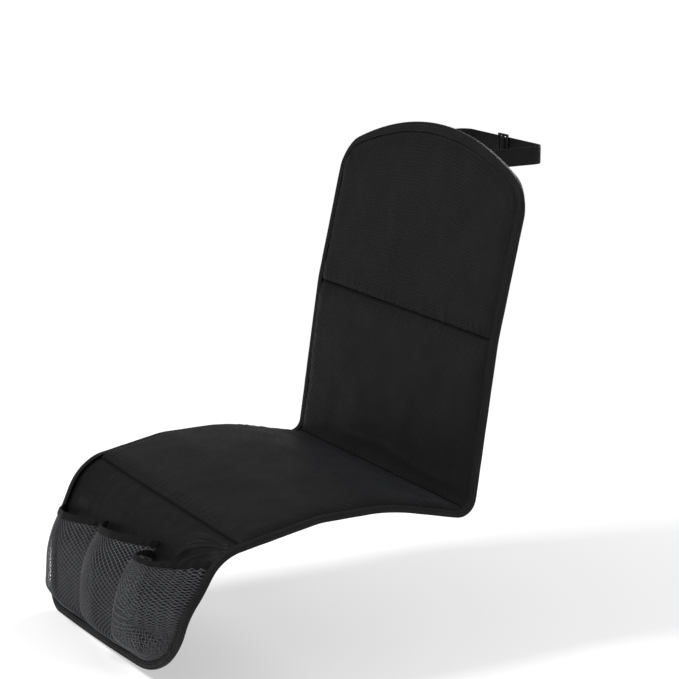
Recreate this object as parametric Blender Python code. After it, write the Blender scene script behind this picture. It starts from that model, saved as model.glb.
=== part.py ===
"""Car seat protector: a padded mat in the shape it takes in use, with a front flap of net pockets and a strap.

Every cloth piece is laid out flat first, at (x, s, n): x across the mat, s along it from the middle of the
seat panel's flat zone towards the back, and n up from the panels' underside. The function drape then bends
that flat layout. The frame's origin is the middle of the flat zone, on the underside of the grip sheet.
Lengths are in metres: +X is to the right, -Y to the front, +Z up.
"""

import math

import bmesh
import bpy
import numpy as np

# Clearance between pieces that are sewn or laid together
GAP = 0.0003

# The mat across, and along it the flap, the seat panel and the back, each from seam to seam
MAT_WIDTH = 0.470
FLAP_LENGTH = 0.224
SEAT_LENGTH = 0.3325
BACK_LENGTH = 0.4315

# The radii of the four corners: the flap's right one is the roundest
TOP_CORNER_RADIUS = 0.035
FLAP_LEFT_RADIUS = 0.034
FLAP_RIGHT_RADIUS = 0.157

# The drape from the flat zone to the front, as lengths along the underside and turns in degrees
FLAT_FRONT = 0.018
CROWN_FRONT = 0.020
CROWN_FRONT_TURN = 10.0
SLOPE_FRONT = 0.095
KNEE_BEND = 0.060
KNEE_TURN = 52.0
FLAP_SLOPE = 0.040
FLAP_BEND = 0.040
FLAP_TURN = 28.0
FLAP_HANG = FLAP_LENGTH - KNEE_BEND - FLAP_SLOPE - FLAP_BEND

# The drape from the flat zone to the top of the back
FLAT_REAR = 0.040
CROWN_REAR = 0.070
CROWN_REAR_TURN = 14.0
CREASE_BEND = 0.039
CREASE_TURN = 95.5
SLOPE_REAR = SEAT_LENGTH - SLOPE_FRONT - CROWN_FRONT - FLAT_FRONT - FLAT_REAR - CROWN_REAR - CREASE_BEND / 2
BACK_SEAM_BEND = 0.020
BACK_SEAM_TURN = 4.5
BACK_UPPER = 0.190
BACK_LOWER = BACK_LENGTH - CREASE_BEND / 2 - BACK_SEAM_BEND - BACK_UPPER

# The upper edge rises to its middle. The flap hangs a little askew: further out and higher at its right side,
# and pulled in at the middle of its left edge
TOP_ARCH = 0.060
FLAP_SKEW = 0.006
FLAP_RISE = 0.012
FLAP_PULL = 0.012

# Thicknesses through the mat, and how far its padding stands above its sewn edge. The grip sheet is thicker
# than the tape's wall, so that it is what the seat panel lies on
GRIP_THICKNESS = 0.0015
EDGE_THICKNESS = 0.0055
FLAP_THICKNESS = 0.0025
PADDING_RISE = 0.0060
PADDING_SHOULDER = 0.024

# The tape folded round the edge
TAPE_WALL = 0.0012
TAPE_WIDTH = 0.011
TAPE_INSET = 0.0030

# The three pockets: their dividing seams, how far below the front seam each mouth starts and ends, how far it
# sags between its ends, and how far each pocket stands out
DIVIDER_LEFT = -0.078
DIVIDER_RIGHT = 0.078
MOUTH_DROPS = {"left": (0.089, 0.076), "middle": (0.076, 0.063), "right": (0.077, 0.050)}
MOUTH_SAGS = {"left": 0.010, "middle": 0.010, "right": 0.022}
POCKET_DEPTHS = {"left": 0.034, "middle": 0.044, "right": 0.056}
POCKET_FILL_HEIGHT = 0.42
MOUTH_PINCH = 0.10
NET_THICKNESS = 0.0015
NET_PITCH = 0.0165
NET_CORD = 0.0045
NET_STAND_OFF = 0.0009
BAND_HEIGHT = 0.009
BAND_THICKNESS = 0.0020

# The strap's loop behind the upper panel, and the slide that it is threaded through
STRAP_WIDTH = 0.025
STRAP_THICKNESS = 0.0015
STRAP_BELOW_TAPE = 0.0035
STRAP_SEWN_LENGTH = 0.040
STRAP_HALF_SPAN = 0.098
STRAP_REACH = 0.112
STRAP_SMALL_BEND = 0.010
STRAP_LARGE_BEND = 0.016
STRAP_UNTWIST = 0.030
SLIDE_BAR = 0.0040
SLIDE_SLOT = 0.0066
SLIDE_THICKNESS = 0.0030
SLIDE_RIM = 0.0032
SLIDE_PLAY = 0.0010

# The largest turn between two neighbouring folds of the drape, in degrees, the steps round a corner,
# and the columns across a panel's middle
DRAPE_STEP = 8.0
CORNER_STEPS = 12
PANEL_COLUMNS = 10

HALF_WIDTH = MAT_WIDTH / 2
FLAP_RADII = (FLAP_LEFT_RADIUS, FLAP_RIGHT_RADIUS)
TOP_RADII = (TOP_CORNER_RADIUS, TOP_CORNER_RADIUS)


def clear_scene():
    for obj in list(bpy.data.objects):
        bpy.data.objects.remove(obj, do_unlink=True)


def make_material(name, colour, roughness):
    """A Principled material of one colour."""
    material = bpy.data.materials.new(name)
    material.use_nodes = True
    shader = material.node_tree.nodes["Principled BSDF"]
    shader.inputs["Base Color"].default_value = (*colour, 1.0)
    shader.inputs["Roughness"].default_value = roughness
    shader.inputs["Metallic"].default_value = 0.0
    material.diffuse_color = (*colour, 1.0)
    return material


def make_object(name, points, faces, material, smooth_angle=35.0):
    """A mesh object from an array of points and a list of faces, smooth but for its sharp edges."""
    mesh = bpy.data.meshes.new(name)
    mesh.from_pydata([tuple(point) for point in points], [], faces)
    mesh.materials.append(material)
    work = bmesh.new()
    work.from_mesh(mesh)
    bmesh.ops.recalc_face_normals(work, faces=work.faces)
    work.to_mesh(mesh)
    work.free()
    mesh.shade_smooth()
    mesh.set_sharp_from_angle(angle=math.radians(smooth_angle))
    obj = bpy.data.objects.new(name, mesh)
    bpy.context.scene.collection.objects.link(obj)
    return obj


def walk(runs, direction):
    """Stations along runs of (length, turn), as (s, y, z), from the flat zone's middle.

    direction is -1 towards the front, where turns lead down, and +1 towards the back, where they lead up.
    z starts at the panels' underside, which lies on the grip sheet.
    """
    s, y, z, heading = 0.0, 0.0, GRIP_THICKNESS + GAP, 0.0
    stations = [(s, y, z)]
    for length, turn in runs:
        steps = max(1, math.ceil(abs(turn) / DRAPE_STEP))
        for step in range(steps):
            middle = math.radians(heading + turn * (step + 0.5) / steps)
            s += direction * length / steps
            y += direction * length / steps * math.cos(middle)
            z += length / steps * math.sin(middle)
            stations.append((s, y, z))
        heading += turn
    return stations


def drape_table():
    """The whole drape as arrays of s, y, z and the offset vector for one unit of thickness."""
    front = walk(
        (
            (FLAT_FRONT, 0.0),
            (CROWN_FRONT, -CROWN_FRONT_TURN),
            (SLOPE_FRONT, 0.0),
            (KNEE_BEND, -KNEE_TURN),
            (FLAP_SLOPE, 0.0),
            (FLAP_BEND, -FLAP_TURN),
            (FLAP_HANG, 0.0),
        ),
        -1,
    )
    rear = walk(
        (
            (FLAT_REAR, 0.0),
            (CROWN_REAR, -CROWN_REAR_TURN),
            (SLOPE_REAR, 0.0),
            (CREASE_BEND, CREASE_TURN),
            (BACK_LOWER, 0.0),
            (BACK_SEAM_BEND, -BACK_SEAM_TURN),
            (BACK_UPPER + TOP_ARCH, 0.0),
        ),
        1,
    )
    table = np.array(front[:0:-1] + rear)
    headings = np.arctan2(np.diff(table[:, 2]), np.diff(table[:, 1]))
    before = np.concatenate([headings[:1], headings])
    after = np.concatenate([headings, headings[-1:]])
    middle = (before + after) / 2
    stretch = 1 / np.cos((after - before) / 2)
    offsets = np.stack([-np.sin(middle) * stretch, np.cos(middle) * stretch], axis=1)
    return np.column_stack([table, offsets])


DRAPE = drape_table()

# Places along the mat that pieces share
FRONT_SEAM = -(FLAT_FRONT + CROWN_FRONT + SLOPE_FRONT)
FLAP_END = FRONT_SEAM - FLAP_LENGTH
CREASE_SEAM = FRONT_SEAM + SEAT_LENGTH
TOP_END = CREASE_SEAM + BACK_LENGTH
UPPER_START = TOP_END - BACK_UPPER
BACK_SEAM = UPPER_START - BACK_SEAM_BEND / 2


def drape(x, s, n):
    """World points of flat points (x, s, n): arrays of one shape give an array with a last axis of 3."""
    x, s, n = np.broadcast_arrays(x, s, n)
    lift = np.clip((s - UPPER_START) / BACK_UPPER, 0, 1)
    s = s + TOP_ARCH * lift * (1 - (x / HALF_WIDTH) ** 2)
    table_s, table_y, table_z, offset_y, offset_z = DRAPE.T
    y = np.interp(s, table_s, table_y) + n * np.interp(s, table_s, offset_y)
    z = np.interp(s, table_s, table_z) + n * np.interp(s, table_s, offset_z)
    askew = FLAP_SKEW * x / HALF_WIDTH * np.clip((FRONT_SEAM + SLOPE_FRONT - s) / SLOPE_FRONT, 0, 1)
    down = np.clip((FRONT_SEAM - s) / FLAP_LENGTH, 0, 1)
    raised = FLAP_RISE * x / HALF_WIDTH * down
    x = x - FLAP_PULL * np.minimum(x, 0) / HALF_WIDTH * np.sin(math.pi * down)
    slope = math.radians(CROWN_FRONT_TURN)
    return np.stack([x, y - askew * math.cos(slope), z - askew * math.sin(slope) + raised], axis=-1)


def round_corners(x, s):
    """Move flat points of a square-cornered layout in, so that the mat's four corners are round.

    Round a corner's centre, the squares of the layout become circles of the same size, so that a line at
    any distance from the edge stays at that distance.
    """
    x, s = np.broadcast_arrays(x, s)
    for end, towards, (left, right) in ((FLAP_END, -1, FLAP_RADII), (TOP_END, 1, TOP_RADII)):
        radius = np.where(x < 0, left, right)
        out = np.abs(x) - (HALF_WIDTH - radius)
        along = (s - end) * towards + radius
        reach = np.maximum(np.maximum(out, along), 1e-9)
        angle = math.pi / 4 * (1 + (along - out) / reach)
        corner = (out > 0) & (along > 0)
        x = np.where(corner, np.sign(x) * (HALF_WIDTH - radius + reach * np.cos(angle)), x)
        s = np.where(corner, end + towards * (reach * np.sin(angle) - radius), s)
    return x, s


def lay(x, s, n):
    """World points of a square-cornered flat layout."""
    return drape(*round_corners(x, s), n)


def rows_between(start, end, extra=()):
    """Values of s from start to end, with each fold of the drape between them and any extra values."""
    inside = [s for s in (*DRAPE[:, 0], *extra) if start + GAP < s < end - GAP]
    return np.array(sorted({round(s, 7) for s in (start, end, *inside)}))


def solid_sheet(name, lower, upper, material):
    """A closed solid between two grids of points with the same rows and columns."""
    rows, columns, _ = lower.shape
    count = rows * columns
    points = np.concatenate([lower.reshape(-1, 3), upper.reshape(-1, 3)])
    faces = []
    for i in range(rows - 1):
        for j in range(columns - 1):
            a, b = i * columns + j, (i + 1) * columns + j
            faces.append((a, b, b + 1, a + 1))
            faces.append((a + count, a + 1 + count, b + 1 + count, b + count))
    for a, b in rim_edges(rows, columns):
        faces.append((a, b, b + count, a + count))
    return make_object(name, points, faces, material)


def rim_edges(rows, columns):
    """The edges round a grid, in order, as pairs of point numbers."""
    bottom = [j for j in range(columns)]
    right = [i * columns + columns - 1 for i in range(1, rows)]
    top = [(rows - 1) * columns + j for j in range(columns - 2, -1, -1)]
    left = [i * columns for i in range(rows - 2, 0, -1)]
    loop = bottom + right + top + left
    return list(zip(loop, loop[1:] + loop[:1]))


def net_sheet(name, lower, upper, cord_share, material):
    """A closed solid like solid_sheet's, with a square gap through the middle of each cell."""
    rows, columns, _ = lower.shape
    count = rows * columns
    points = [*lower.reshape(-1, 3), *upper.reshape(-1, 3)]
    faces = []
    for i in range(rows - 1):
        for j in range(columns - 1):
            outer = (i * columns + j, (i + 1) * columns + j, (i + 1) * columns + j + 1, i * columns + j + 1)
            sides = []
            for shift in (0, count):
                corners = [points[k + shift] for k in outer]
                centre = sum(corners) / 4
                first = len(points)
                points.extend(centre + (corner - centre) * (1 - cord_share) for corner in corners)
                sides.append((shift, first))
            for k in range(4):
                m = (k + 1) % 4
                (_, low), (_, high) = sides
                faces.append((outer[k], outer[m], low + m, low + k))
                faces.append((outer[m] + count, outer[k] + count, high + k, high + m))
                faces.append((low + k, low + m, high + m, high + k))
    for a, b in rim_edges(rows, columns):
        faces.append((a, b, b + count, a + count))
    return make_object(name, np.array(points), faces, material)


def swept(name, rings, material):
    """A closed solid through rings of points, with a flat cap at each end."""
    count, sides, _ = rings.shape
    faces = []
    for i in range(count - 1):
        for j in range(sides):
            k = (j + 1) % sides
            faces.append((i * sides + j, i * sides + k, (i + 1) * sides + k, (i + 1) * sides + j))
    faces.append(tuple(range(sides)))
    faces.append(tuple((count - 1) * sides + j for j in range(sides)))
    return make_object(name, rings.reshape(-1, 3), faces, material)


def shoulder(distance):
    """The padding's rise, from 0 at its seam to 1 past the shoulder, round like a quarter of an ellipse."""
    share = np.clip(distance / PADDING_SHOULDER, 0, 1)
    return np.sqrt(1 - (1 - share) ** 2)


def padded_panel(name, start, end, ends_in_tape, material):
    """A padded panel between two seams: thin where it is sewn, and raised inside its seams."""
    shoulder_steps = PADDING_SHOULDER * np.array([0.0, 0.12, 0.4, 1.0])
    seam = TAPE_WIDTH if ends_in_tape else GAP / 2
    first = start + GAP / 2
    last = end - (TAPE_INSET if ends_in_tape else seam)
    rows = rows_between(first, last, [*(first + shoulder_steps), *(end - seam - shoulder_steps)])
    s = rows[:, None]
    sides = HALF_WIDTH - np.array([TAPE_INSET, *(TAPE_WIDTH + shoulder_steps)])
    middle = np.linspace(-sides[-1], sides[-1], PANEL_COLUMNS + 1)[1:-1]
    x = np.concatenate([-sides, middle, sides[::-1]])[None, :]
    from_side = HALF_WIDTH - TAPE_WIDTH - np.abs(x)
    from_ends = np.minimum(s - first, end - seam - s)
    rise = PADDING_RISE * shoulder(from_side) * shoulder(from_ends)
    return solid_sheet(name, lay(x, s, 0.0), lay(x, s, EDGE_THICKNESS + rise), material)


def grip_backing(material):
    """The non-slip sheet under the seat panel, between the tapes."""
    s = rows_between(FRONT_SEAM + GAP / 2, CREASE_SEAM - GAP / 2)[:, None]
    x = np.linspace(-1, 1, 3)[None, :] * (HALF_WIDTH - TAPE_WIDTH - GAP)
    return solid_sheet("seat_grip_backing", lay(x, s, -GAP - GRIP_THICKNESS), lay(x, s, -GAP), material)


def front_flap(material):
    """The flap's cloth, which hangs from the front seam and carries the pockets."""
    shares = np.linspace(0, 1, CORNER_STEPS // 2 + 1)
    left, right = (TAPE_INSET + (radius - TAPE_INSET) * shares for radius in FLAP_RADII)
    corner_rows = FLAP_END + np.concatenate([left, right])
    s = rows_between(FLAP_END + TAPE_INSET, FRONT_SEAM - GAP / 2, corner_rows)[:, None]
    middle = np.linspace(left[-1] - HALF_WIDTH, HALF_WIDTH - right[-1], CORNER_STEPS)[1:-1]
    x = np.concatenate([left - HALF_WIDTH, middle, (HALF_WIDTH - right)[::-1]])[None, :]
    return solid_sheet("front_flap", lay(x, s, 0.0), lay(x, s, FLAP_THICKNESS), material)


def tape_section():
    """The folded tape's section as (inward distance, n): a channel that opens inwards over the edge."""
    slot_low, slot_high = -GAP, EDGE_THICKNESS + GAP
    low, high = slot_low - TAPE_WALL, slot_high + TAPE_WALL
    curl = TAPE_WALL * 0.8
    return np.array(
        [
            (TAPE_WIDTH, slot_low),
            (TAPE_WIDTH, low),
            (curl, low),
            (0.0, low + curl),
            (0.0, high - curl),
            (curl, high),
            (TAPE_WIDTH, high),
            (TAPE_WIDTH, slot_high),
            (TAPE_WALL, slot_high),
            (TAPE_WALL, slot_low),
        ]
    )


def edge_side(side, seam, end, radius):
    """One side of the edge and its corner, as rows of (x, s, dx, ds): points, and directions inwards."""
    towards = 1 if end > seam else -1
    corner = end - towards * radius
    rows = [(side * HALF_WIDTH, s, -side, 0.0) for s in rows_between(*sorted((seam, corner)))[::towards]]
    for angle in np.linspace(0, math.pi / 2, CORNER_STEPS + 1)[1:]:
        across, along = side * math.cos(angle), towards * math.sin(angle)
        x = side * (HALF_WIDTH - radius) + radius * across
        rows.append((x, corner + radius * along, -across, -along))
    return rows


def edge_route(seam, end, radii):
    """Points and inward directions along left side, end and right side, as rows of (x, s, dx, ds)."""
    left, right = (edge_side(side, seam, end, radius) for side, radius in zip((-1, 1), radii))
    between = np.linspace(left[-1][0], right[-1][0], PANEL_COLUMNS + 1)[1:-1]
    middle = [(x, *left[-1][1:]) for x in between]
    return np.array(left + middle + right[::-1])


def edge_tape(name, seam, end, radii, material):
    """The folded tape from a seam round one end of the mat and back to the seam."""
    route = edge_route(seam, end, radii)[:, None, :]
    section = tape_section()[None, :, :]
    x = route[..., 0] + route[..., 2] * section[..., 0]
    s = route[..., 1] + route[..., 3] * section[..., 0]
    return swept(name, drape(x, s, section[..., 1]), material)


def pocket_sides(side):
    """A pocket's free width, from left to right: it starts at a dividing seam or at the tape's inner edge."""
    edge = HALF_WIDTH - TAPE_WIDTH
    limits = {
        "left": (-edge, DIVIDER_LEFT - GAP / 2),
        "middle": (DIVIDER_LEFT + GAP / 2, DIVIDER_RIGHT - GAP / 2),
        "right": (DIVIDER_RIGHT + GAP / 2, edge),
    }
    return limits[side]


def pocket_columns(side):
    """Values of x across a pocket, a cell apart, with one more under the tape where the pocket reaches it."""
    left, right = pocket_sides(side)
    x = np.linspace(left, right, round((right - left) / NET_PITCH) + 1)
    tucked = HALF_WIDTH - TAPE_INSET
    if side == "left":
        x = np.concatenate([[-tucked], x])
    if side == "right":
        x = np.concatenate([x, [tucked]])
    return x[None, :]


def mouth(side, x):
    """Where a pocket's net ends, as s: lower at its left seam, and sagging between its seams."""
    left, right = pocket_sides(side)
    start, end = MOUTH_DROPS[side]
    share = np.clip((x - left) / (right - left), 0, 1)
    return FRONT_SEAM - start + (start - end) * share - MOUTH_SAGS[side] * np.sin(math.pi * share)


def pocket_height(side, x, s):
    """The height n of a pocket's inner face: full from a little above its bottom, and pinched at its mouth."""
    left, right = pocket_sides(side)
    low = FLAP_END + TAPE_WIDTH
    v = np.clip((s - low) / (mouth(side, x) - low), 0, 1)
    across = np.sin(math.pi * np.clip((x - left) / (right - left), 0, 1))
    filled = np.sin(math.pi / 2 * np.clip(v / POCKET_FILL_HEIGHT, 0, 1))
    pinched = 1 - MOUTH_PINCH * np.clip((v - POCKET_FILL_HEIGHT) / (1 - POCKET_FILL_HEIGHT), 0, 1) ** 2
    return FLAP_THICKNESS + NET_STAND_OFF + POCKET_DEPTHS[side] * across * filled * pinched


def pocket_net(side, material):
    """A pocket's net: a bulged sheet with rows of gaps, sewn at its sides and bottom."""
    left, right = pocket_sides(side)
    low = FLAP_END + TAPE_WIDTH
    height = mouth(side, (left + right) / 2) - low
    x = pocket_columns(side)
    v = np.linspace(0, 1, max(2, round(height / NET_PITCH)) + 1)[:, None]
    s = low + (mouth(side, x) - low) * v
    s = np.concatenate([np.full_like(x, FLAP_END + TAPE_INSET), s])
    n = pocket_height(side, x, s)
    net_sheet(f"pocket_net_{side}", lay(x, s, n), lay(x, s, n + NET_THICKNESS), NET_CORD / NET_PITCH, material)


def pocket_band(side, material):
    """The elastic band along a pocket's mouth, on the net's upper edge."""
    x = pocket_columns(side)
    s = mouth(side, x) + np.array([GAP, BAND_HEIGHT])[:, None]
    n = pocket_height(side, x, s)
    solid_sheet(f"pocket_band_{side}", lay(x, s, n), lay(x, s, n + BAND_THICKNESS), material)


def strap_route():
    """The strap's half loop as rows of (x, q): from its sewn end to the middle of its rear run, q rearward."""
    small, large = STRAP_SMALL_BEND, STRAP_LARGE_BEND
    points = [(STRAP_HALF_SPAN - small - STRAP_SEWN_LENGTH, 0.0)]
    for angle in np.linspace(0, math.pi / 2, 6):
        points.append((STRAP_HALF_SPAN - small + small * math.sin(angle), small - small * math.cos(angle)))
    for share in (0.34, 0.67):
        points.append((STRAP_HALF_SPAN, small + share * (STRAP_REACH - large - small)))
    for angle in np.linspace(0, math.pi / 2, 7):
        points.append((STRAP_HALF_SPAN - large + large * math.cos(angle), STRAP_REACH - large + large * math.sin(angle)))
    dip = SLIDE_THICKNESS + STRAP_THICKNESS + 4 * GAP
    points.append((SLIDE_BAR / 2 + SLIDE_SLOT + GAP, STRAP_REACH))
    points.append((SLIDE_BAR / 2 + GAP, STRAP_REACH - dip))
    return np.array(points)


def strap_frame():
    """The point where the strap's q is 0, behind the upper panel, and the panel's upward direction there."""
    edge = TOP_END + TOP_ARCH * (1 - (STRAP_HALF_SPAN / HALF_WIDTH) ** 2)
    s = edge - TAPE_WIDTH - STRAP_BELOW_TAPE - STRAP_WIDTH / 2
    table_s, table_y, table_z, offset_y, offset_z = DRAPE.T
    stand_off = STRAP_THICKNESS / 2 + GAP
    y = np.interp(s, table_s, table_y) - stand_off * np.interp(s, table_s, offset_y)
    z = np.interp(s, table_s, table_z) - stand_off * np.interp(s, table_s, offset_z)
    up = np.array([0.0, -offset_z[-1], offset_y[-1]]) * -1
    return np.array([0.0, y, z]), up / np.linalg.norm(up)


def headrest_strap(material):
    """Webbing sewn to the back of the upper panel at both ends, standing on its edge round its loop."""
    half = strap_route()
    route = np.concatenate([half, half[::-1] * [-1, 1]])
    origin, panel_up = strap_frame()
    ahead = np.diff(route, axis=0)
    ahead /= np.linalg.norm(ahead, axis=1)[:, None]
    before = np.concatenate([ahead[:1], ahead])
    after = np.concatenate([ahead, ahead[-1:]])
    mitre = before + after
    side = np.stack([mitre[:, 1], -mitre[:, 0]], axis=1)
    side /= np.sum(side * np.stack([after[:, 1], -after[:, 0]], axis=1), axis=1)[:, None]
    upright = np.clip(route[:, 1] / STRAP_UNTWIST, 0, 1)[:, None]
    up = panel_up * (1 - upright) + np.array([0.0, 0.0, 1.0]) * upright
    up /= np.linalg.norm(up, axis=1)[:, None]
    centre = origin + np.column_stack([route, np.zeros(len(route))])
    across = np.column_stack([side, np.zeros(len(side))])
    across[:, 2] -= across[:, 1] * up[:, 1]
    rings = [
        centre + across * STRAP_THICKNESS / 2 * i + up * STRAP_WIDTH / 2 * j
        for i, j in ((1, 1), (1, -1), (-1, -1), (-1, 1))
    ]
    return swept("headrest_strap", np.stack(rings, axis=1), material)


def box_object(name, size, centre, material):
    """A box with its size and centre in its mesh."""
    signs = np.array([(i, j, k) for i in (-1, 1) for j in (-1, 1) for k in (-1, 1)])
    points = signs * np.array(size) / 2 + np.array(centre)
    faces = [(0, 1, 3, 2), (4, 6, 7, 5), (0, 4, 5, 1), (2, 3, 7, 6), (0, 2, 6, 4), (1, 5, 7, 3)]
    return make_object(name, points, faces, material)


def strap_slide(material):
    """The slide: a plate with two slots, one either side of the bar that the strap passes over."""
    origin, _ = strap_frame()
    middle = STRAP_REACH - STRAP_THICKNESS / 2 - 2 * GAP - SLIDE_THICKNESS / 2
    centre = origin + np.array([0.0, middle, 0.0])
    slot_height = STRAP_WIDTH + 2 * SLIDE_PLAY
    width = SLIDE_BAR + 2 * SLIDE_SLOT + 2 * SLIDE_RIM
    plate = box_object("strap_slide", (width, SLIDE_THICKNESS, slot_height + 2 * SLIDE_RIM), centre, material)
    for side in (-1, 1):
        place = centre + np.array([side * (SLIDE_BAR + SLIDE_SLOT) / 2, 0.0, 0.0])
        size = (SLIDE_SLOT, 3 * SLIDE_THICKNESS, slot_height)
        cutter = box_object(f"slot_cutter_{side + 1}", size, place, material)
        cutter.hide_render = True
        cutter.display_type = "WIRE"
        slot = plate.modifiers.new(f"slot_{side + 1}", "BOOLEAN")
        slot.operation = "DIFFERENCE"
        slot.object = cutter
    return plate


def build():
    clear_scene()
    canvas = make_material("padded_canvas", (0.020, 0.020, 0.022), 0.62)
    lining = make_material("flap_cloth", (0.016, 0.016, 0.018), 0.70)
    grip = make_material("grip_backing", (0.035, 0.035, 0.037), 0.80)
    tape = make_material("edge_tape", (0.013, 0.012, 0.013), 0.55)
    net = make_material("pocket_net", (0.010, 0.010, 0.011), 0.60)
    elastic = make_material("elastic", (0.012, 0.012, 0.013), 0.58)
    webbing = make_material("webbing", (0.011, 0.011, 0.012), 0.50)
    plastic = make_material("slide_plastic", (0.018, 0.018, 0.019), 0.38)

    padded_panel("seat_panel", FRONT_SEAM, CREASE_SEAM, False, canvas)
    padded_panel("back_panel_lower", CREASE_SEAM, BACK_SEAM, False, canvas)
    padded_panel("back_panel_upper", BACK_SEAM, TOP_END, True, canvas)
    grip_backing(grip)
    front_flap(lining)
    edge_tape("edge_tape_mat", FRONT_SEAM + GAP / 2, TOP_END, TOP_RADII, tape)
    edge_tape("edge_tape_flap", FRONT_SEAM - GAP / 2, FLAP_END, FLAP_RADII, tape)
    for side in POCKET_DEPTHS:
        pocket_net(side, net)
        pocket_band(side, elastic)
    headrest_strap(webbing)
    strap_slide(plastic)


build()
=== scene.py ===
# %% [markdown]
# # A car seat protector, dressed
# The mat is cut flat, bound round its edge, and then bent into the shape that it takes in use: a seat panel
# with a soft crown, a back that rises behind it, and in front a flap that hangs down and carries three net
# pockets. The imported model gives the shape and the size. This script puts cloth, net, tape and stitching in
# its place, in the same frame and in metres.

import math

import bpy
import numpy as np
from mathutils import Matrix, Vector


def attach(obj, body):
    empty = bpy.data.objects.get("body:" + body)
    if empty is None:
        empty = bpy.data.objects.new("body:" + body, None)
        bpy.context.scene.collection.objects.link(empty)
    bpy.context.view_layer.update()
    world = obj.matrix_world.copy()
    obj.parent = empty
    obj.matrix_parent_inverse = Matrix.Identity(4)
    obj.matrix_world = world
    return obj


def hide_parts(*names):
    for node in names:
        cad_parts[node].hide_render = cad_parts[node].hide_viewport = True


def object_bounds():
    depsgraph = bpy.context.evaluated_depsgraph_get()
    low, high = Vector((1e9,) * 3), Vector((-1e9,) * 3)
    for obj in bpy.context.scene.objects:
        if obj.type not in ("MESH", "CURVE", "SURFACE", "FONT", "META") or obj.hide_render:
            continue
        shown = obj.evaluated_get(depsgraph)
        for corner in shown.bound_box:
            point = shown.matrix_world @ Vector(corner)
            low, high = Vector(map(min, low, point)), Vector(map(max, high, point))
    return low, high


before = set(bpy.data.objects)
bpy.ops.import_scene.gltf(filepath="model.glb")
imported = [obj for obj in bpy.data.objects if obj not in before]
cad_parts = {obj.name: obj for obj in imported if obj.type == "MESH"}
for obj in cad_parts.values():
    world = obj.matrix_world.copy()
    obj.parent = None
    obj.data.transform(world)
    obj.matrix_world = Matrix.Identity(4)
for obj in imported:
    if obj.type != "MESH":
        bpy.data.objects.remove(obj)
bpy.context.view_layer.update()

# %% [markdown]
# ## The cut sizes
# A sewn mat starts as flat pieces, so its sizes are lengths along the cloth. Each run along the mat's
# middle line is a length and the slope at its end. Across, the mat is as wide everywhere. Writing the drape
# as a list of runs keeps it easy to change: a softer knee is only a longer run.

# %% Sizes along and across the mat
HALF_WIDTH = 0.235
RUNS = (  # name, length in metres, slope at the end in degrees
    ("hang", 0.084, 90.0),
    ("flap bend", 0.040, 62.0),
    ("flap slope", 0.040, 62.0),
    ("knee", 0.060, 10.0),
    ("front slope", 0.095, 10.0),
    ("front crown", 0.020, 0.0),
    ("flat", 0.058, 0.0),
    ("rear crown", 0.070, -14.0),
    ("rear slope", 0.070, -14.0),
    ("crease", 0.039, 81.5),
    ("lower back", 0.202, 81.5),
    ("back seam", 0.020, 77.0),
    ("upper back", 0.250, 77.0),
)
FLAT_FRONT = 0.018  # the part of the flat run that lies in front of the origin
RUN_LENGTH = {name: length for name, length, _ in RUNS}
RUN_START = dict(zip(RUN_LENGTH, np.cumsum([0.0, *RUN_LENGTH.values()])))
ZERO = RUN_START["flat"] + FLAT_FRONT
FLAP_END = -ZERO
FRONT_SEAM = RUN_START["front slope"] - ZERO
CREASE_SEAM = RUN_START["crease"] + RUN_LENGTH["crease"] / 2 - ZERO
BACK_SEAM = RUN_START["back seam"] + RUN_LENGTH["back seam"] / 2 - ZERO
UPPER_START = RUN_START["upper back"] - ZERO
UPPER_LENGTH = 0.190
TOP_END = UPPER_START + UPPER_LENGTH
TOP_ARCH = 0.060
UNDERSIDE = 0.0018  # the panels' underside, above the underside of the grip sheet
CORNERS = ((FLAP_END, -1, 0.034, 0.157), (TOP_END, 1, 0.035, 0.035))  # end, direction, left and right radius
print("seams at", [round(s, 4) for s in (FLAP_END, FRONT_SEAM, CREASE_SEAM, BACK_SEAM, TOP_END)])

# %% [markdown]
# ## From flat to draped
# Cloth that bends one way keeps its lengths, so the whole drape is one curve seen from the side. The slope
# along the curve is known, so adding up its cosine and sine in steps of a millimetre gives the curve
# itself. A point of a flat piece is then found by how far along it lies, how far across, and how high it
# stands off the underside. The flap hangs free, so it is a little askew, sags in its middle, and is drawn
# in at its left edge.


# %% The drape as a curve
def smooth(values, reach):
    """Values averaged with a bell-shaped weight over their neighbours, which rounds where two runs meet."""
    offsets = np.arange(-3 * reach, 3 * reach + 1)
    weight = np.exp(-0.5 * (offsets / reach) ** 2)
    padded = np.pad(values, 3 * reach, mode="edge")
    return np.convolve(padded, weight / weight.sum(), mode="valid")


SPARE = 0.02  # how far the curve goes on past both ends
SPINE_S = np.arange(FLAP_END - SPARE, TOP_END + TOP_ARCH + SPARE, 0.001)
run_ends = [FLAP_END] + [FLAP_END + RUN_START[name] + length for name, length, _ in RUNS]
run_slopes = [RUNS[0][2]] + [slope for _, _, slope in RUNS]
SPINE_SLOPE = np.radians(smooth(np.interp(SPINE_S, run_ends, run_slopes), 3))


def running_sum(rate):
    """The sum of the rate along the curve by trapezoids, measured from the middle of the flat run."""
    total = np.concatenate([[0.0], np.cumsum((rate[1:] + rate[:-1]) / 2 * np.diff(SPINE_S))])
    return total - np.interp(0.0, SPINE_S, total)


SPINE_Y = running_sum(np.cos(SPINE_SLOPE))
SPINE_Z = UNDERSIDE + running_sum(np.sin(SPINE_SLOPE))


def on_curve(s):
    """Slope, y and z of the curve at the lengths s."""
    return [np.interp(s, SPINE_S, values) for values in (SPINE_SLOPE, SPINE_Y, SPINE_Z)]


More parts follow.
